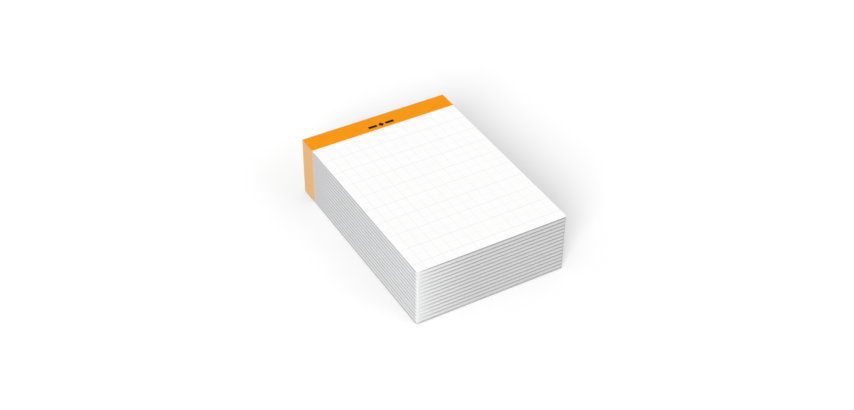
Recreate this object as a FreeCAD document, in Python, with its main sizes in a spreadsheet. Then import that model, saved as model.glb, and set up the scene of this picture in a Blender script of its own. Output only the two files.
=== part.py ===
import FreeCAD, Part
import os
import Sketcher

# A thick pad of ruled note paper, bound along its head.
# The sheets lie in counted lifts with a grey board under them, and a film of padding glue holds
# their head edges together. One folded paper strip caps the head: a flap over the first sheet,
# a panel over the glue, a flap under the board and a tab round each side.
# Frame: +X to the reader's right, +Y towards the bound head, +Z up out of the first sheet.
# The origin is the middle of the footprint, in the plane that the pad lies on.

SIZES = [
    ("sheet_width", 74.0),  # A7 paper, upright
    ("sheet_length", 105.0),
    ("sheet_thickness", 0.1),
    ("lift_sheets", 20),  # sheets in one full lift
    ("lift_count", 14),  # full lifts in the pad
    ("first_lift_sheets", 6),  # sheets left above the first gap
    ("foot_corner_radius", 1.2),
    ("gap_mouth", 0.8),  # height of the open edge between two lifts
    ("gap_depth", 0.6),  # how far that edge falls back at the foot
    ("pressed_mouth", 0.2),  # the same two sizes where the glue pulls the lifts together
    ("pressed_depth", 0.04),
    ("pressed_length", 24.0),  # from the strip's back to where the side gaps begin
    ("board_thickness", 0.6),
    ("glue_thickness", 0.3),
    ("strip_thickness", 0.15),
    ("strip_reach", 10.0),  # from the strip's back to the free edges of its flaps and tabs
    ("fold_land", 0.05),  # flat glue left beside a rounded edge
    ("seam_gap", 0.1),  # between a tab and the flap that laps it
    ("overrun", 1.0),  # how far a cut starts outside the solid
]

# Lengths and places worked out from the sheet, as the expressions that features are bound to
LIFT = "(Sizes.lift_sheets * Sizes.sheet_thickness)"
BLOCK_HEIGHT = f"({LIFT} * Sizes.lift_count + Sizes.first_lift_sheets * Sizes.sheet_thickness)"
HALF_WIDTH = "(Sizes.sheet_width / 2)"
STRIP_HALF_WIDTH = f"({HALF_WIDTH} + Sizes.strip_thickness)"
BACK = "((Sizes.sheet_length + Sizes.glue_thickness + Sizes.strip_thickness) / 2)"
FOOT = f"(-{BACK})"
GLUE_BACK = f"({BACK} - Sizes.strip_thickness)"
HEAD = f"({GLUE_BACK} - Sizes.glue_thickness)"
STRIP_EDGE = f"({BACK} - Sizes.strip_reach)"
BOARD_BOTTOM = "Sizes.strip_thickness"
BLOCK_BOTTOM = f"({BOARD_BOTTOM} + Sizes.board_thickness)"
BLOCK_TOP = f"({BLOCK_BOTTOM} + {BLOCK_HEIGHT})"
STRIP_TOP = f"({BLOCK_TOP} + Sizes.strip_thickness)"
INNER_FOLD = "(Sizes.glue_thickness - Sizes.fold_land)"
OUTER_FOLD = f"({INNER_FOLD} + Sizes.strip_thickness)"

SAME_PLACE = 1e-4  # two points closer than this are one point


def add_size_sheet(doc):
    sheet = doc.addObject("Spreadsheet::Sheet", "Sizes")
    for row, (name, value) in enumerate(SIZES, start=1):
        sheet.set(f"A{row}", name)
        sheet.set(f"B{row}", str(value))
        sheet.setAlias(f"B{row}", name)
    doc.recompute()


def measured(doc, expression):
    """The present value of an expression, for drawing a point or finding an edge."""
    probe = doc.addObject("App::FeaturePython", "Probe")
    probe.addProperty("App::PropertyFloat", "Value")
    probe.setExpression("Value", expression)
    doc.recompute()
    value = probe.Value
    doc.removeObject(probe.Name)
    return value


def new_body(doc, name):
    body = doc.addObject("PartDesign::Body", name)
    body.Label = name
    return body


def origin_plane(body, role):
    return next(plane for plane in body.Origin.OriginFeatures if plane.Role == role)


def new_sketch(body, name, plane, offset="0"):
    """An empty sketch parallel to one of the body's own planes. XZ_Plane faces the foot."""
    sketch = body.newObject("Sketcher::SketchObject", name)
    sketch.AttachmentSupport = [(origin_plane(body, plane), "")]
    sketch.MapMode = "FlatFace"
    sketch.setExpression(".AttachmentOffset.Base.z", f"({offset}) * 1mm")
    return sketch


def draw_outline(doc, sketch, corners):
    """A closed outline of straight lines, each corner a pair of expressions."""
    points = [FreeCAD.Vector(measured(doc, x), measured(doc, y), 0) for x, y in corners]
    first = sketch.GeometryCount
    count = len(corners)
    for i, point in enumerate(points):
        sketch.addGeometry(Part.LineSegment(point, points[(i + 1) % count]), False)
    for i in range(count):
        following = first + (i + 1) % count
        sketch.addConstraint(Sketcher.Constraint("Coincident", first + i, 2, following, 1))
    for i, (point, corner) in enumerate(zip(points, corners), start=first):
        for kind, value, expression in (
            ("DistanceX", point.x, corner[0]),
            ("DistanceY", point.y, corner[1]),
        ):
            index = sketch.addConstraint(Sketcher.Constraint(kind, -1, 1, i, 1, value))
            sketch.setExpression(f"Constraints[{index}]", expression)


def box_corners(low_x, high_x, low_y, high_y):
    return [(low_x, low_y), (high_x, low_y), (high_x, high_y), (low_x, high_y)]


def add_pad(body, name, sketch, length):
    feature = body.newObject("PartDesign::Pad", name)
    feature.Profile = sketch
    feature.setExpression("Length", length)
    return feature


def add_pocket(body, name, sketch, length, midplane=False):
    feature = body.newObject("PartDesign::Pocket", name)
    feature.Profile = sketch
    feature.Midplane = midplane
    feature.setExpression("Length", length)
    return feature


def edges_at(doc, feature, y, upright_only=False):
    """Names of the feature's edges that lie at one distance towards the head."""
    doc.recompute()
    place = measured(doc, y)
    names = []
    for i, edge in enumerate(feature.Shape.Edges, start=1):
        if any(abs(vertex.Y - place) > SAME_PLACE for vertex in edge.Vertexes):
            continue
        ends = edge.Vertexes
        if upright_only and abs(ends[0].X - ends[-1].X) > SAME_PLACE:
            continue
        names.append(f"Edge{i}")
    return names


def add_fillet(body, name, base, edges, radius):
    feature = body.newObject("PartDesign::Fillet", name)
    feature.Base = (base, edges)
    feature.setExpression("Radius", radius)
    return feature


def add_sheet_solid(doc, body, bottom, height):
    """A solid of the sheets' own outline, square at the head and worn round at the foot."""
    plan = new_sketch(body, "SheetPlan", "XY_Plane", bottom)
    draw_outline(doc, plan, box_corners(f"-{HALF_WIDTH}", HALF_WIDTH, FOOT, HEAD))
    solid = add_pad(body, "Sheets", plan, height)
    corners = edges_at(doc, solid, FOOT, upright_only=True)
    add_fillet(body, "FootCorners", solid, corners, "Sizes.foot_corner_radius")


def gap_corners(edge, inward, depth, mouth):
    """A wedge that opens on an edge, centred on the joint between the block and the board."""
    return [
        (edge, f"{BLOCK_BOTTOM} - {mouth} / 2"),
        (f"{edge} {inward} {depth}", BLOCK_BOTTOM),
        (edge, f"{BLOCK_BOTTOM} + {mouth} / 2"),
    ]


def add_side_gap(doc, body, name, edge, inward):
    """The lowest gap of one side, widest at the foot and closing towards the pressed head."""
    at_foot = new_sketch(body, f"{name}AtFoot", "XZ_Plane", BACK)
    draw_outline(doc, at_foot, gap_corners(edge, inward, "Sizes.gap_depth", "Sizes.gap_mouth"))
    at_head = new_sketch(body, f"{name}AtHead", "XZ_Plane", f"Sizes.pressed_length - {BACK}")
    pressed = gap_corners(edge, inward, "Sizes.pressed_depth", "Sizes.pressed_mouth")
    draw_outline(doc, at_head, pressed)
    gap = body.newObject("PartDesign::SubtractiveLoft", name)
    gap.Profile = at_foot
    gap.Sections = [at_head]
    gap.Ruled = True
    return gap


def add_page_block(doc):
    """Every sheet as one block, with a gap round its three open sides between each two lifts."""
    body = new_body(doc, "page_block")
    add_sheet_solid(doc, body, BLOCK_BOTTOM, BLOCK_HEIGHT)

    profile = new_sketch(body, "FootGapProfile", "YZ_Plane")
    draw_outline(doc, profile, gap_corners(FOOT, "+", "Sizes.gap_depth", "Sizes.gap_mouth"))
    across = "Sizes.sheet_width + 2 * Sizes.overrun"
    gaps = [
        add_pocket(body, "FootGap", profile, across, midplane=True),
        add_side_gap(doc, body, "LeftGap", f"-{HALF_WIDTH}", "+"),
        add_side_gap(doc, body, "RightGap", HALF_WIDTH, "-"),
    ]

    every_lift = body.newObject("PartDesign::LinearPattern", "EveryLift")
    every_lift.Originals = gaps
    every_lift.Direction = (origin_plane(body, "Z_Axis"), [""])
    every_lift.Mode = "Spacing"
    every_lift.setExpression("Offset", LIFT)
    every_lift.setExpression("Occurrences", "Sizes.lift_count + 1")
    body.Tip = every_lift


def add_backing_board(doc):
    """The grey board, cut flush with the sheets."""
    body = new_body(doc, "backing_board")
    add_sheet_solid(doc, body, BOARD_BOTTOM, "Sizes.board_thickness")


def add_padding_glue(doc):
    """The dried film behind the head, its outer edges rounded under the strip's folds."""
    body = new_body(doc, "padding_glue")
    plan = new_sketch(body, "FilmPlan", "XY_Plane", BOARD_BOTTOM)
    draw_outline(doc, plan, box_corners(f"-{HALF_WIDTH}", HALF_WIDTH, HEAD, GLUE_BACK))
    film = add_pad(body, "Film", plan, f"Sizes.board_thickness + {BLOCK_HEIGHT}")
    add_fillet(body, "FilmEdges", film, edges_at(doc, film, GLUE_BACK), INNER_FOLD)


def add_binding_strip(doc):
    """The folded strip, as a cap open towards the foot, with a seam along each side of its tabs."""
    body = new_body(doc, "binding_strip")
    plan = new_sketch(body, "CapPlan", "XY_Plane")
    corners = box_corners(f"-{STRIP_HALF_WIDTH}", STRIP_HALF_WIDTH, STRIP_EDGE, BACK)
    draw_outline(doc, plan, corners)
    cap = add_pad(body, "Cap", plan, STRIP_TOP)
    add_fillet(body, "OuterFolds", cap, edges_at(doc, cap, BACK), OUTER_FOLD)

    opening = f"Sizes.overrun - {STRIP_EDGE}"
    inside = new_sketch(body, "InsideProfile", "XZ_Plane", opening)
    draw_outline(doc, inside, box_corners(f"-{HALF_WIDTH}", HALF_WIDTH, BOARD_BOTTOM, BLOCK_TOP))
    to_glue = "Sizes.strip_reach - Sizes.strip_thickness + Sizes.overrun"
    hollow = add_pocket(body, "Inside", inside, to_glue)
    add_fillet(body, "InnerFolds", hollow, edges_at(doc, hollow, GLUE_BACK), INNER_FOLD)

    seams = new_sketch(body, "SeamProfiles", "XZ_Plane", opening)
    past_side = f"({STRIP_HALF_WIDTH} + Sizes.overrun)"
    for low, high in (
        (BOARD_BOTTOM, f"{BOARD_BOTTOM} + Sizes.seam_gap"),
        (f"{BLOCK_TOP} - Sizes.seam_gap", BLOCK_TOP),
    ):
        draw_outline(doc, seams, box_corners(f"-{past_side}", past_side, low, high))
    add_pocket(body, "Seams", seams, f"{to_glue} - Sizes.glue_thickness")


def check_objects(doc):
    """Stops the script if any object failed or any sub-part isn't a sound solid."""
    for item in doc.Objects:
        if "Invalid" in item.State or "Error" in item.State:
            raise RuntimeError(f"{item.Name} failed: {item.State}")
    for body in doc.findObjects("PartDesign::Body"):
        if body.Shape.isNull() or not body.Shape.isValid() or len(body.Shape.Solids) != 1:
            raise RuntimeError(f"{body.Label} isn't one sound solid")


def main():
    os.makedirs("parts", exist_ok=True)
    doc = FreeCAD.newDocument("LegalPad")
    add_size_sheet(doc)
    add_page_block(doc)
    add_backing_board(doc)
    add_padding_glue(doc)
    add_binding_strip(doc)
    doc.recompute()
    check_objects(doc)
    for body in doc.findObjects("PartDesign::Body"):
        body.Shape.exportStep(f"parts/{body.Label}.step")
        print(body.Label, body.Shape.BoundBox, round(body.Shape.Volume, 2))


main()
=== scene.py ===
import bpy
import math
import random
from mathutils import Matrix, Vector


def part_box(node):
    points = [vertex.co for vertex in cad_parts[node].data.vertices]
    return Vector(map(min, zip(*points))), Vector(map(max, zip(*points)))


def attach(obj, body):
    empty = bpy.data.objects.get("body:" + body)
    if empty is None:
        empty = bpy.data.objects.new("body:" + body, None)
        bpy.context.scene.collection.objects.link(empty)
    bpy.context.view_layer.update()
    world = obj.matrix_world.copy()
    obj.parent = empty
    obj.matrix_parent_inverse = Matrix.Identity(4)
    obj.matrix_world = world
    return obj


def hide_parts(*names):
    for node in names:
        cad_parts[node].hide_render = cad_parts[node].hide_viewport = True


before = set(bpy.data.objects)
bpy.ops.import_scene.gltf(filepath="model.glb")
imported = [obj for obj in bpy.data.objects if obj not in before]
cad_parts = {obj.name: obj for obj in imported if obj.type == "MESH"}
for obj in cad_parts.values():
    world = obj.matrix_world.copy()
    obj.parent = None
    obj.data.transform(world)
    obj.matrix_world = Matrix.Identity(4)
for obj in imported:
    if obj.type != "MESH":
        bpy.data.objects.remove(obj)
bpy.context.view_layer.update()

mm = 0.001
near = 0.004 * mm  # two places closer than this are the same place
mostly = 0.7  # the least share of a face's normal along the way that the face looks

# Where things lie, read from the frame
blockLow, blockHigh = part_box("page_block")
boardLow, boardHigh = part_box("backing_board")
stripLow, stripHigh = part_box("binding_strip")
left, right = blockLow[0], blockHigh[0]
foot, head = blockLow[1], blockHigh[1]


# Picking and shaping, as by hand


def dropSelection():
    if bpy.context.object and bpy.context.object.mode != "OBJECT":
        bpy.ops.object.mode_set(mode="OBJECT")
    bpy.ops.object.select_all(action="DESELECT")


def takeUp(piece):
    dropSelection()
    piece.select_set(True)
    bpy.context.view_layer.objects.active = piece


def openForEdit(piece, kind):
    takeUp(piece)
    bpy.ops.object.mode_set(mode="EDIT")
    bpy.ops.mesh.select_mode(type=kind)
    bpy.ops.mesh.select_all(action="DESELECT")
    bpy.ops.object.mode_set(mode="OBJECT")


def pickCorners(piece, wanted):
    openForEdit(piece, "VERT")
    for corner in piece.data.vertices:
        corner.select = wanted(*corner.co)
    bpy.ops.object.mode_set(mode="EDIT")


def pickEdges(piece, wanted):
    openForEdit(piece, "EDGE")
    ends = piece.data.vertices
    for edge in piece.data.edges:
        edge.select = all(wanted(*ends[i].co) for i in edge.vertices)
    bpy.ops.object.mode_set(mode="EDIT")


def pickFaces(piece, wanted):
    openForEdit(piece, "FACE")
    for face in piece.data.polygons:
        face.select = wanted(face.center, face.normal)
    bpy.ops.object.mode_set(mode="EDIT")


def pickAll(piece):
    takeUp(piece)
    bpy.ops.object.mode_set(mode="EDIT")
    bpy.ops.mesh.select_all(action="SELECT")


def doneEditing():
    bpy.ops.object.mode_set(mode="OBJECT")


def cutAcross(piece, place, direction):
    pickAll(piece)
    bpy.ops.mesh.bisect(plane_co=place, plane_no=direction)
    doneEditing()


def shiftCorners(piece, wanted, shift):
    pickCorners(piece, wanted)
    bpy.ops.transform.translate(value=shift)
    doneEditing()


def setPlace(piece):
    takeUp(piece)
    bpy.ops.object.transform_apply(location=True, rotation=True, scale=True)


def addPlate(name, low, high, height):
    # A flat rectangle from low to high, at a height
    dropSelection()
    middle = ((low[0] + high[0]) / 2, (low[1] + high[1]) / 2, height)
    bpy.ops.mesh.primitive_plane_add(size=1, location=middle)
    plate = bpy.context.object
    plate.name = name
    plate.data.name = name
    bpy.ops.transform.resize(value=(high[0] - low[0], high[1] - low[1], 1))
    setPlace(plate)
    return plate


def thicken(piece, thickness):
    pickAll(piece)
    bpy.ops.mesh.extrude_region_move(TRANSFORM_OT_translate={"value": (0, 0, thickness)})
    bpy.ops.mesh.select_all(action="SELECT")
    bpy.ops.mesh.normals_make_consistent(inside=False)
    doneEditing()


def copyOf(piece, name):
    takeUp(piece)
    bpy.ops.object.duplicate()
    copy = bpy.context.object
    copy.name = name
    return copy


def joinAll(pieces, name):
    dropSelection()
    for piece in pieces:
        piece.select_set(True)
    bpy.context.view_layer.objects.active = pieces[0]
    bpy.ops.object.join()
    joined = bpy.context.object
    joined.name = name
    joined.data.name = name
    return joined


# Materials


def newMaterial(name, colour, finish):
    material = bpy.data.materials.new(name)
    material.use_nodes = True
    shader = material.node_tree.nodes["Principled BSDF"]
    shader.inputs["Base Color"].default_value = (*colour, 1)
    shader.inputs["Roughness"].default_value = finish["roughness"]
    shader.inputs["Specular IOR Level"].default_value = finish["specular"]
    return material, material.node_tree, shader


def addNode(tree, kind, **settings):
    node = tree.nodes.new(kind)
    for key, value in settings.items():
        setattr(node, key, value)
    return node


def placeOnPiece(tree, stretch=(1, 1, 1)):
    # The place on the piece, multiplied by the stretch along each axis
    place = addNode(tree, "ShaderNodeTexCoord")
    mapping = addNode(tree, "ShaderNodeMapping")
    mapping.inputs["Scale"].default_value = stretch
    tree.links.new(place.outputs["Object"], mapping.inputs["Vector"])
    return mapping.outputs["Vector"]


def addNoise(tree, grain, stretch=(1, 1, 1)):
    # A grain is how fine it is per metre, its detail and its roughness
    perMetre, detail, roughness = grain
    noise = addNode(tree, "ShaderNodeTexNoise")
    noise.inputs["Scale"].default_value = perMetre
    noise.inputs["Detail"].default_value = detail
    noise.inputs["Roughness"].default_value = roughness
    tree.links.new(placeOnPiece(tree, stretch), noise.inputs["Vector"])
    return noise.outputs["Fac"]


def addMaths(tree, operation, first, second=None):
    maths = addNode(tree, "ShaderNodeMath", operation=operation)
    for socket, value in zip(maths.inputs, (first, second)):
        if value is None:
            continue
        if isinstance(value, (int, float)):
            socket.default_value = value
        else:
            tree.links.new(value, socket)
    return maths.outputs[0]


def spread(tree, value, low, high, newLow=0.0, newHigh=1.0):
    # A value between low and high, spread smoothly over a new range
    ramp = addNode(tree, "ShaderNodeMapRange", interpolation_type="SMOOTHSTEP")
    ramp.inputs["From Min"].default_value = low
    ramp.inputs["From Max"].default_value = high
    ramp.inputs["To Min"].default_value = newLow
    ramp.inputs["To Max"].default_value = newHigh
    tree.links.new(value, ramp.inputs["Value"])
    return ramp.outputs["Result"]


def mixColours(tree, amount, first, second, blend="MIX"):
    mix = addNode(tree, "ShaderNodeMix", data_type="RGBA", blend_type=blend)
    tree.links.new(amount, mix.inputs["Factor"])
    for socket, colour in ((mix.inputs["A"], first), (mix.inputs["B"], second)):
        if isinstance(colour, tuple):
            socket.default_value = (*colour, 1)
        else:
            tree.links.new(colour, socket)
    return mix.outputs["Result"]


def cloudyTint(tree, grain, fromTo, first, second):
    # Two colours that hardly differ, in soft clouds
    clouds = spread(tree, addNoise(tree, grain), *fromTo)
    return mixColours(tree, clouds, first, second)


def addBump(tree, shader, height, depth):
    bump = addNode(tree, "ShaderNodeBump")
    bump.inputs["Strength"].default_value = 1.0
    bump.inputs["Distance"].default_value = depth
    tree.links.new(height, bump.inputs["Height"])
    tree.links.new(bump.outputs["Normal"], shader.inputs["Normal"])


def splitPlace(tree):
    split = addNode(tree, "ShaderNodeSeparateXYZ")
    tree.links.new(placeOnPiece(tree), split.inputs[0])
    return split.outputs["X"], split.outputs["Y"], split.outputs["Z"]


# The sheets

sheet = {
    "perLift": 20,  # sheets from one gap to the next
    "aboveFirstGap": 6,
    "thickness": 0.1 * mm,
    "air": 0.006 * mm,  # left open between two sheets
    "cornerRadius": 1.2 * mm,
    "cornerSteps": 4,
    "gapMouth": 0.8 * mm,
    "gapDepth": 0.6 * mm,
    "pressedDepth": 0.02 * mm,
    "pressedFromHead": 23.5 * mm,  # where the glue starts to hold the lifts together
    "thumbedAlongFoot": 3.5 * mm,  # the gaps close over this much beside the thumbed corner
    "thumbedAlongSide": 2.5 * mm,
    "thumbedShare": 0.12,  # of a gap's depth, left at the thumbed corner
    "swing": 0.0004,  # radians that a sheet or a lift turns about the head, at most
    "seed": 7,
}


def addFlatSheet(name, height):
    flat = addPlate(name, (left, foot), (right, head), height)
    pickCorners(flat, lambda x, y, z: y < foot + near)
    bpy.ops.mesh.bevel(offset=sheet["cornerRadius"], segments=sheet["cornerSteps"], affect="VERTICES")
    doneEditing()
    cutAcross(flat, (left + sheet["thumbedAlongFoot"], 0, 0), (1, 0, 0))
    cutAcross(flat, (0, foot + sheet["thumbedAlongSide"], 0), (0, 1, 0))
    cutAcross(flat, (0, head - sheet["pressedFromHead"], 0), (0, 1, 0))
    return flat


def pullBack(flat, depth):
    # Draws the open edges of a sheet in, less at the thumbed corner and hardly where it is pressed
    thumbed = sheet["thumbedShare"] * depth
    pressed = sheet["pressedDepth"]
    footEnd = left + sheet["thumbedAlongFoot"]
    sideEnd = foot + sheet["thumbedAlongSide"]
    pressedEnd = head - sheet["pressedFromHead"]
    roundLeft = left + sheet["cornerRadius"]
    roundRight = right - sheet["cornerRadius"]
    roundFoot = foot + sheet["cornerRadius"]
    moves = [
        (lambda x, y, z: y < foot + near and footEnd - near < x < roundRight - near, (0, depth, 0)),
        (lambda x, y, z: x > roundRight - near and y < roundFoot + near, (-depth, depth, 0)),
        (lambda x, y, z: x > right - near and abs(y - sideEnd) < near, (-depth, 0, 0)),
        (lambda x, y, z: x < left + near and abs(y - sideEnd) < near, (depth, 0, 0)),
        (lambda x, y, z: x < roundLeft + near and y < roundFoot + near, (thumbed, thumbed, 0)),
        (lambda x, y, z: x < left + near and abs(y - pressedEnd) < near, (pressed, 0, 0)),
        (lambda x, y, z: x > right - near and abs(y - pressedEnd) < near, (-pressed, 0, 0)),
    ]
    for wanted, shift in moves:
        shiftCorners(flat, wanted, shift)


def gapDepthAt(number, count, openAbove):
    # How far sheet number of a lift falls back, from its distance to the nearest gap
    middle = (number + 0.5) * sheet["thickness"]
    toGap = middle
    if openAbove:
        toGap = min(middle, count * sheet["thickness"] - middle)
    return sheet["gapDepth"] * max(0.0, 1 - toGap / (sheet["gapMouth"] / 2))


def raiseAndSwing(piece, height, chance):
    # Up by a height, and a little round about the head
    pickAll(piece)
    bpy.ops.transform.translate(value=(0, 0, height))
    angle = chance.uniform(-sheet["swing"], sheet["swing"])
    bpy.ops.transform.rotate(value=angle, orient_axis="Z", center_override=(0, head, 0))
    doneEditing()


def addLift(name, bottom, count, openAbove, chance):
    solid = sheet["thickness"] - sheet["air"]
    pattern = addFlatSheet(name, bottom)
    lift = []
    for number in range(count):
        one = copyOf(pattern, f"{name}_{number}")
        depth = gapDepthAt(number, count, openAbove)
        if depth > 0:
            pullBack(one, depth)
        thicken(one, solid)
        raiseAndSwing(one, number * sheet["thickness"], chance)
        lift.append(one)
    bpy.data.objects.remove(pattern)
    return joinAll(lift, name)


def addSheets():
    chance = random.Random(sheet["seed"])
    liftHeight = sheet["perLift"] * sheet["thickness"]
    liftCount = int((blockHigh[2] - blockLow[2]) / liftHeight)
    first = addLift("lift", blockLow[2], sheet["perLift"], True, chance)
    lifts = [first]
    for number in range(1, liftCount):
        lift = copyOf(first, f"lift_{number}")
        raiseAndSwing(lift, number * liftHeight, chance)
        lifts.append(lift)
    topBottom = blockLow[2] + liftCount * liftHeight
    lifts.append(addLift("first_lift", topBottom, sheet["aboveFirstGap"] - 1, False, chance))
    return joinAll(lifts, "sheets")


def addRuledSheet():
    ruled = addFlatSheet("ruled_sheet", blockHigh[2] - sheet["thickness"])
    thicken(ruled, sheet["thickness"])
    return ruled


sheetPaper = {
    "white": (0.965, 0.965, 0.962),
    "shade": (0.955, 0.955, 0.952),
    "clouds": (160, 5, 0.65),
    "cloudsFromTo": (0.35, 0.65),
    "fibres": (2600, 4, 0.6),
    "fibreDepth": 0.004 * mm,
    "roughness": 0.9,
    "specular": 0.0,
}

ruling = {
    "square": 5 * mm,
    "lineWidth": 0.22 * mm,
    "lineBlur": 0.15,  # share of half a line's width
    "grey": (0.82, 0.82, 0.822),
    "weakRow": 0.4,  # the share of the grey that every second row gets
    "downLeft": 0.74,  # and that of the lines down the sheet, which pale from left to right
    "downRight": 0.52,
}


def lineAmount(tree, along, first, step):
    # 1 on a ruled line and 0 between, for lines one step apart from a first one
    fromFirst = addMaths(tree, "SUBTRACT", along, first - step / 2)
    inStep = addMaths(tree, "FLOORED_MODULO", fromFirst, step)
    toLine = addMaths(tree, "ABSOLUTE", addMaths(tree, "SUBTRACT", inStep, step / 2))
    half = ruling["lineWidth"] / 2
    blur = half * ruling["lineBlur"]
    return spread(tree, toLine, half + blur, half - blur)


def makeRuledPaper():
    paper = sheetPaper
    material, tree, shader = newMaterial("ruled_paper", paper["white"], paper)
    tint = cloudyTint(tree, paper["clouds"], paper["cloudsFromTo"], paper["white"], paper["shade"])
    addBump(tree, shader, addNoise(tree, paper["fibres"]), paper["fibreDepth"])

    x, y, z = splitPlace(tree)
    square = ruling["square"]
    pale = spread(tree, x, left, right, ruling["downLeft"], ruling["downRight"])
    down = addMaths(tree, "MULTIPLY", lineAmount(tree, x, left + square, square), pale)
    weakRows = addMaths(tree, "MULTIPLY", lineAmount(tree, y, foot, 2 * square), ruling["weakRow"])
    across = addMaths(tree, "MAXIMUM", lineAmount(tree, y, foot + square, 2 * square), weakRows)
    onLine = addMaths(tree, "MAXIMUM", down, across)
    tree.links.new(mixColours(tree, onLine, tint, ruling["grey"]), shader.inputs["Base Color"])
    return material


def paintRuledSheet(piece, faceMaterial, edgeMaterial):
    piece.data.materials.append(faceMaterial)
    piece.data.materials.append(edgeMaterial)
    for face in piece.data.polygons:
        face.material_index = 0 if abs(face.normal.z) > mostly else 1


cutEdge = {
    "side": (0.735, 0.735, 0.745),
    # painted shade: the foot's edge is painted greyer than the side's
    "foot": (0.665, 0.665, 0.67),
    "footShadeTo": 4 * mm,  # how far the foot's painted shade reaches round its corners
    "pressed": (0.63, 0.63, 0.64),  # painted shade: darker by the head, where no gap opens
    "paintedLight": (0.775, 0.775, 0.78),  # painted light: paler beside the thumbed corner
    "paintedLightOver": 30 * mm,  # from there along the foot
    "sideShare": 0.15,  # and only this share of it along the side
    "thumbed": (0.71, 0.71, 0.715),  # painted shade: darker on the rounding of that corner, which catches the most light
    "roundShadeFrom": 0.6,  # in corner radii
    "roundShadeTo": 1.3,
    "gapShade": (0.59, 0.59, 0.595),
    "shadeReach": 0.5 * mm,  # above and below the middle of a gap
    "shadeCore": 0.1 * mm,
    "gapsOpenOver": 12 * mm,  # from the thumbed corner along the foot
    "gapsFadeFrom": 32 * mm,  # from the head, along both sides
    "gapsFadeTo": 12 * mm,
    "streaks": (3000, 3, 0.5),
    "streakStretch": (1, 1, 0.08),
    "streakDepth": 0.01 * mm,
    "roughness": 0.85,
    "specular": 0.2,
}


def makeCutEdge():
    # The guillotined edges: greyer than the sheet's face, with painted light beside the thumbed
    # corner and painted shade on the foot, by the head, on that corner's rounding and inside the
    # gaps, which close beside that corner and towards the head
    material, tree, shader = newMaterial("cut_edge", cutEdge["side"], cutEdge)
    x, y, z = splitPlace(tree)
    fromLeft = addMaths(tree, "SUBTRACT", x, left)
    fromFoot = addMaths(tree, "SUBTRACT", y, foot)
    fromHead = addMaths(tree, "SUBTRACT", head, y)
    alongSide = addMaths(tree, "DIVIDE", fromFoot, cutEdge["sideShare"])
    fromCorner = addMaths(tree, "ADD", fromLeft, alongSide)
    # painted shade: the foot's edge greyer than the side's
    onSide = spread(tree, fromFoot, 0.0, cutEdge["footShadeTo"])
    edge = mixColours(tree, onSide, cutEdge["foot"], cutEdge["side"])
    openAtSide = spread(tree, fromHead, cutEdge["gapsFadeTo"], cutEdge["gapsFadeFrom"])
    # painted shade: darker by the head, where no gap opens
    edge = mixColours(tree, openAtSide, cutEdge["pressed"], edge)
    # painted light beside the thumbed corner, fading along the foot and sooner along the side
    paintedLight = spread(tree, fromCorner, 0.0, cutEdge["paintedLightOver"], 1.0, 0.0)
    edge = mixColours(tree, paintedLight, edge, cutEdge["paintedLight"])
    # painted shade on the rounding of the thumbed corner, toning down its highlight
    roundCorner = addMaths(tree, "ADD", fromLeft, fromFoot)
    roundShadeFrom = cutEdge["roundShadeFrom"] * sheet["cornerRadius"]
    roundShadeTo = cutEdge["roundShadeTo"] * sheet["cornerRadius"]
    thumbed = spread(tree, roundCorner, roundShadeFrom, roundShadeTo, 1.0, 0.0)
    edge = mixColours(tree, thumbed, edge, cutEdge["thumbed"])

    # painted shade inside the gaps, fading where they close
    lift = sheet["perLift"] * sheet["thickness"]
    fromMiddle = addMaths(tree, "SUBTRACT", z, blockLow[2] - lift / 2)
    inLift = addMaths(tree, "FLOORED_MODULO", fromMiddle, lift)
    toGap = addMaths(tree, "ABSOLUTE", addMaths(tree, "SUBTRACT", inLift, lift / 2))
    inGap = spread(tree, toGap, cutEdge["shadeReach"], cutEdge["shadeCore"])
    openAtFoot = spread(tree, fromCorner, 0.0, cutEdge["gapsOpenOver"])
    dark = addMaths(tree, "MULTIPLY", inGap, addMaths(tree, "MULTIPLY", openAtFoot, openAtSide))
    shaded = mixColours(tree, dark, edge, cutEdge["gapShade"], "MULTIPLY")
    tree.links.new(shaded, shader.inputs["Base Color"])
    streaks = addNoise(tree, cutEdge["streaks"], cutEdge["streakStretch"])
    addBump(tree, shader, streaks, cutEdge["streakDepth"])
    return material


# The grey board

board = {
    "cornerRadius": 1.2 * mm,
    "cornerSteps": 6,
    "edgeRound": 0.06 * mm,
    "edgeSteps": 2,
    "edgeAngle": 60,  # degrees; edges sharper than this are rounded
    "grey": (0.56, 0.56, 0.555),
    "darkPulp": (0.45, 0.45, 0.445),
    "pulp": (900, 5, 0.7),
    "pulpStretch": (1, 1, 3),
    "pulpFromTo": (0.3, 0.7),
    "pulpDepth": 0.03 * mm,
    "paleFleck": (0.68, 0.68, 0.67),
    "flecks": (2600, 2, 0.5),
    "fleckStretch": (1, 0.35, 1),
    "flecksFromTo": (0.62, 0.68),
    "roughness": 0.9,
    "specular": 0.2,
}


def addBoard():
    piece = addPlate("grey_board", boardLow, boardHigh, boardLow[2])
    pickCorners(piece, lambda x, y, z: y < foot + near)
    bpy.ops.mesh.bevel(offset=board["cornerRadius"], segments=board["cornerSteps"], affect="VERTICES")
    doneEditing()
    thicken(piece, boardHigh[2] - boardLow[2])
    rounding = piece.modifiers.new("edges", "BEVEL")
    rounding.width = board["edgeRound"]
    rounding.segments = board["edgeSteps"]
    rounding.limit_method = "ANGLE"
    rounding.angle_limit = math.radians(board["edgeAngle"])
    bpy.ops.object.modifier_apply(modifier="edges")
    return piece


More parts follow.
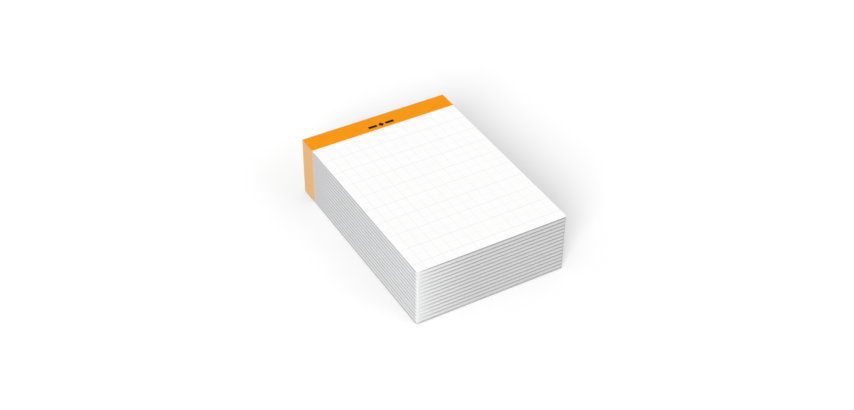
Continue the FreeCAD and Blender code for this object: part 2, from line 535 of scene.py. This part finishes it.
def makeGreyBoard():
    material, tree, shader = newMaterial("grey_board", board["grey"], board)
    pulp = addNoise(tree, board["pulp"], board["pulpStretch"])
    greyer = spread(tree, pulp, *board["pulpFromTo"])
    mottled = mixColours(tree, greyer, board["darkPulp"], board["grey"])
    flecks = addNoise(tree, board["flecks"], board["fleckStretch"])
    pale = spread(tree, flecks, *board["flecksFromTo"])
    tree.links.new(mixColours(tree, pale, mottled, board["paleFleck"]), shader.inputs["Base Color"])
    addBump(tree, shader, pulp, board["pulpDepth"])
    return material


# The binding strip

strip = {
    "thickness": 0.15 * mm,
    "fold": 0.4 * mm,
    "foldSteps": 5,
    "seam": 0.1 * mm,
    "smoothAngle": 35,  # degrees
    "orange": (0.925, 0.313, 0.004),
    "orangeShade": (0.90, 0.301, 0.004),
    # painted sheen: the tabs' orange is paler than the band's
    "tab": (0.87, 0.512, 0.23),
    "clouds": (220, 5, 0.6),
    "cloudsFromTo": (0.35, 0.65),
    "paleFold": (0.86, 0.43, 0.12),
    "paleShare": 0.6,
    "paleFrom": 0.25 * mm,
    "paleTo": 0.5 * mm,
    "fibres": (2400, 3, 0.5),
    "fibreDepth": 0.005 * mm,
    "roughness": 0.5,
    "specular": 0.03,
}


def addStrip():
    dropSelection()
    middle = [(low + high) / 2 for low, high in zip(stripLow, stripHigh)]
    bpy.ops.mesh.primitive_cube_add(size=1, location=middle)
    piece = bpy.context.object
    piece.name = "head_strip"
    piece.data.name = "head_strip"
    bpy.ops.transform.resize(value=[high - low for low, high in zip(stripLow, stripHigh)])
    setPlace(piece)

    pickFaces(piece, lambda centre, normal: normal.y < -mostly)
    bpy.ops.mesh.delete(type="FACE")
    doneEditing()

    back = stripHigh[1]
    pickEdges(piece, lambda x, y, z: y > back - near)
    bpy.ops.mesh.bevel(offset=strip["fold"], segments=strip["foldSteps"], affect="EDGES")
    doneEditing()

    # A seam along each side of both tabs, as far as the head of the sheets
    lowSeam = stripLow[2] + strip["thickness"]
    highSeam = stripHigh[2] - strip["thickness"]
    cutAcross(piece, (0, head, 0), (0, 1, 0))
    for height in (lowSeam, lowSeam + strip["seam"], highSeam - strip["seam"], highSeam):
        cutAcross(piece, (0, 0, height), (0, 0, 1))

    def inSeam(centre, normal):
        low = lowSeam < centre.z < lowSeam + strip["seam"]
        high = highSeam - strip["seam"] < centre.z < highSeam
        return abs(normal.x) > mostly and centre.y < head and (low or high)

    pickFaces(piece, inSeam)
    bpy.ops.mesh.delete(type="FACE")
    doneEditing()

    takeUp(piece)
    wall = piece.modifiers.new("wall", "SOLIDIFY")
    wall.thickness = strip["thickness"]
    wall.offset = -1
    wall.use_even_offset = True
    bpy.ops.object.modifier_apply(modifier="wall")
    bpy.ops.object.shade_smooth_by_angle(angle=math.radians(strip["smoothAngle"]))
    even = piece.modifiers.new("even", "WEIGHTED_NORMAL")  # keeps the folds from shading the flats
    even.keep_sharp = True
    bpy.ops.object.modifier_apply(modifier="even")
    return piece


def makeStripPaper(name, colour, shade):
    material, tree, shader = newMaterial(name, colour, strip)
    tint = cloudyTint(tree, strip["clouds"], strip["cloudsFromTo"], colour, shade)
    x, y, z = splitPlace(tree)
    toTop = addMaths(tree, "SUBTRACT", stripHigh[2], z)
    toBack = addMaths(tree, "SUBTRACT", stripHigh[1], y)
    toSide = addMaths(tree, "SUBTRACT", stripHigh[0], addMaths(tree, "ABSOLUTE", x))
    foldTop = addMaths(tree, "ADD", toTop, toBack)
    foldSide = addMaths(tree, "ADD", toSide, toBack)
    toFold = addMaths(tree, "MINIMUM", foldTop, foldSide)
    # paler along the folds
    paleAtFold = spread(tree, toFold, strip["paleFrom"], strip["paleTo"], strip["paleShare"], 0.0)
    tree.links.new(mixColours(tree, paleAtFold, tint, strip["paleFold"]), shader.inputs["Base Color"])
    addBump(tree, shader, addNoise(tree, strip["fibres"]), strip["fibreDepth"])
    return material


def paintStrip(piece):
    # The tabs take the paler colour, a painted sheen on the band's orange, with their cut ends
    piece.data.materials.append(makeStripPaper("strip_orange", strip["orange"], strip["orangeShade"]))
    piece.data.materials.append(makeStripPaper("strip_tab_painted_sheen", strip["tab"], strip["tab"]))
    for face in piece.data.polygons:
        sideOrEnd = abs(face.normal.x) > mostly or face.normal.y < -mostly
        face.material_index = 1 if sideOrEnd and abs(face.center.x) > right - near else 0


# The printed ornament on the top flap

ornament = {
    "fromFlapEdge": 2.7 * mm,
    "barLength": 4.4 * mm,
    "barWidth": 1.6 * mm,
    "barGap": 0.7 * mm,
    "lozenge": 3.0 * mm,
    "inkThickness": 0.006 * mm,
    "ink": (0.012, 0.011, 0.012),
    "wornInk": (0.08, 0.05, 0.03),
    "wear": (3000, 3, 0.5),
    "wearFromTo": (0.62, 0.75),
    "roughness": 0.85,
    "specular": 0.05,
}


def addOrnament():
    y = stripLow[1] + ornament["fromFlapEdge"]
    top = stripHigh[2]
    half = ornament["barWidth"] / 2
    parts = []
    start = ornament["lozenge"] / 2 + ornament["barGap"]
    end = start + ornament["barLength"]
    for low, high in ((-end, -start), (start, end)):
        bar = addPlate("bar", (low, y - half), (high, y + half), top)
        thicken(bar, ornament["inkThickness"])
        parts.append(bar)
    dropSelection()
    bpy.ops.mesh.primitive_circle_add(
        vertices=4, radius=ornament["lozenge"] / 2, fill_type="NGON", location=(0, y, top)
    )
    lozenge = bpy.context.object
    setPlace(lozenge)
    thicken(lozenge, ornament["inkThickness"])
    parts.append(lozenge)
    return joinAll(parts, "flap_ornament")


def makeInk():
    material, tree, shader = newMaterial("black_ink", ornament["ink"], ornament)
    worn = spread(tree, addNoise(tree, ornament["wear"]), *ornament["wearFromTo"])
    ink = mixColours(tree, worn, ornament["ink"], ornament["wornInk"])
    tree.links.new(ink, shader.inputs["Base Color"])
    return material


# The glue film, which stays as the frame has it and gets a finish

glue = {
    "white": (0.86, 0.84, 0.76),
    "lumps": (700, 3, 0.5),
    "lumpStretch": (1, 1, 0.3),
    "lumpDepth": 0.05 * mm,
    "roughness": 0.4,
    "specular": 0.5,
}


def makeGlue():
    material, tree, shader = newMaterial("padding_glue", glue["white"], glue)
    lumps = addNoise(tree, glue["lumps"], glue["lumpStretch"])
    addBump(tree, shader, lumps, glue["lumpDepth"])
    return material


# The studio

ground = {
    "size": 4.0,  # metres
    "bounce": (0.25, 0.25, 0.25),  # how much light it gives back to the pad
    "glow": 0.18,  # the share of its tone that takes no shadow
    "roughness": 1.0,
    "specular": 0.0,
}

sky = {
    "strength": 0.622,
}

# Angles are in degrees, and an azimuth of 0 is before the foot
keyLight = {
    "strength": 2.21,
    "spread": 27,
    "azimuth": -45,
    "elevation": 29,
    "distance": 1.5,  # metres
}

rightLight = {
    "strength": 0.32,
    "spread": 32,
    "azimuth": 32,
    "elevation": 36,
    "distance": 1.5,
}

fillLight = {
    "power": 0.066,
    "width": 160 * mm,
    "height": 26 * mm,
    "azimuth": -55,
    "distance": 150 * mm,  # from the thumbed corner
}

camera = {
    "azimuth": -30.4,
    "elevation": 38.7,
    "roll": 0.6,
    "lens": 61.8,  # millimetres, as Blender writes it
    "sensorWidth": 36,
    "aim": (-2.1 * mm, -0.9 * mm, 14.75 * mm),
    "distance": 655.8 * mm,
    "seesFrom": 10 * mm,
}


def awayFrom(target, azimuth, elevation, distance):
    a = math.radians(azimuth)
    e = math.radians(elevation)
    direction = (math.sin(a) * math.cos(e), -math.cos(a) * math.cos(e), math.sin(e))
    return [t + distance * d for t, d in zip(target, direction)]


def turnTo(thing, azimuth, elevation, roll=0.0):
    thing.rotation_mode = "XYZ"
    thing.rotation_euler = (math.radians(90 - elevation), 0, math.radians(azimuth))
    if roll:
        rolled = thing.rotation_euler.to_matrix() @ Matrix.Rotation(math.radians(roll), 3, "Z")
        thing.rotation_euler = rolled.to_euler()


def addCamera():
    dropSelection()
    bpy.ops.object.camera_add(
        location=awayFrom(camera["aim"], camera["azimuth"], camera["elevation"], camera["distance"])
    )
    eye = bpy.context.object
    eye.name = "camera"
    turnTo(eye, camera["azimuth"], camera["elevation"], camera["roll"])
    eye.data.sensor_width = camera["sensorWidth"]
    eye.data.lens = camera["lens"]
    eye.data.clip_start = camera["seesFrom"]
    bpy.context.scene.camera = eye


def addFarLight(name, lamp):
    dropSelection()
    place = awayFrom((0, 0, 0), lamp["azimuth"], lamp["elevation"], lamp["distance"])
    bpy.ops.object.light_add(type="SUN", location=place)
    light = bpy.context.object
    light.name = name
    light.data.energy = lamp["strength"]
    light.data.angle = math.radians(lamp["spread"])
    turnTo(light, lamp["azimuth"], lamp["elevation"])


def addFill():
    # A low light before the thumbed corner, no higher than the pad
    corner = (left, foot, fillLight["height"] / 2)
    dropSelection()
    place = awayFrom(corner, fillLight["azimuth"], 0, fillLight["distance"])
    bpy.ops.object.light_add(type="AREA", location=place)
    fill = bpy.context.object
    fill.name = "fill"
    fill.data.shape = "RECTANGLE"
    fill.data.size = fillLight["width"]
    fill.data.size_y = fillLight["height"]
    fill.data.energy = fillLight["power"]
    fill.visible_camera = False
    turnTo(fill, fillLight["azimuth"], 0)


def addSky():
    # An even sky, which the camera sees as plain white
    world = bpy.data.worlds.new("studio")
    bpy.context.scene.world = world
    world.use_nodes = True
    tree = world.node_tree
    tree.nodes.clear()
    light = addNode(tree, "ShaderNodeBackground")
    light.inputs["Strength"].default_value = sky["strength"]
    white = addNode(tree, "ShaderNodeBackground")
    path = addNode(tree, "ShaderNodeLightPath")
    mix = addNode(tree, "ShaderNodeMixShader")
    output = addNode(tree, "ShaderNodeOutputWorld")
    for node in (light, white):
        node.inputs["Color"].default_value = (1, 1, 1, 1)
    tree.links.new(path.outputs["Is Camera Ray"], mix.inputs[0])
    tree.links.new(light.outputs[0], mix.inputs[1])
    tree.links.new(white.outputs[0], mix.inputs[2])
    tree.links.new(mix.outputs[0], output.inputs["Surface"])


def addFloor():
    # A matt floor, which the camera sees as white with the pad's shadow on it
    dropSelection()
    bpy.ops.mesh.primitive_plane_add(size=ground["size"], location=(0, 0, 0))
    floor = bpy.context.object
    floor.name = "floor"
    material, tree, shader = newMaterial("white_floor", ground["bounce"], ground)
    shadowed = addNode(tree, "ShaderNodeBsdfDiffuse")
    shadowed.inputs["Color"].default_value = (1, 1, 1, 1)
    glow = addNode(tree, "ShaderNodeEmission")
    white = addNode(tree, "ShaderNodeMixShader")
    white.inputs[0].default_value = ground["glow"]
    path = addNode(tree, "ShaderNodeLightPath")
    seen = addNode(tree, "ShaderNodeMixShader")
    tree.links.new(shadowed.outputs[0], white.inputs[1])
    tree.links.new(glow.outputs[0], white.inputs[2])
    tree.links.new(path.outputs["Is Camera Ray"], seen.inputs[0])
    tree.links.new(shader.outputs[0], seen.inputs[1])
    tree.links.new(white.outputs[0], seen.inputs[2])
    tree.links.new(seen.outputs[0], tree.nodes["Material Output"].inputs["Surface"])
    floor.data.materials.append(material)


# Putting the pad together

print("stage: sheets")
edgePaper = makeCutEdge()
sheets = addSheets()
sheets.data.materials.append(edgePaper)
ruledSheet = addRuledSheet()
paintRuledSheet(ruledSheet, makeRuledPaper(), edgePaper)
for piece in (sheets, ruledSheet):
    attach(piece, "root")
    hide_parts("page_block")

print("stage: board")
greyBoard = addBoard()
greyBoard.data.materials.append(makeGreyBoard())
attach(greyBoard, "root")
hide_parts("backing_board")

print("stage: strip")
headStrip = addStrip()
paintStrip(headStrip)
headStrip.visible_diffuse = False  # so that it casts no orange glow on the floor
flapOrnament = addOrnament()
flapOrnament.data.materials.append(makeInk())
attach(headStrip, "root")
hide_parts("binding_strip")
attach(flapOrnament, "root")

print("stage: glue")
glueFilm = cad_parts["padding_glue"]
glueFilm.data.materials.clear()
glueFilm.data.materials.append(makeGlue())

print("stage: studio")
addFloor()
addSky()
addFarLight("key", keyLight)
addFarLight("right", rightLight)  # a weak one
addFill()
addCamera()
bpy.context.scene.view_settings.view_transform = "Standard"
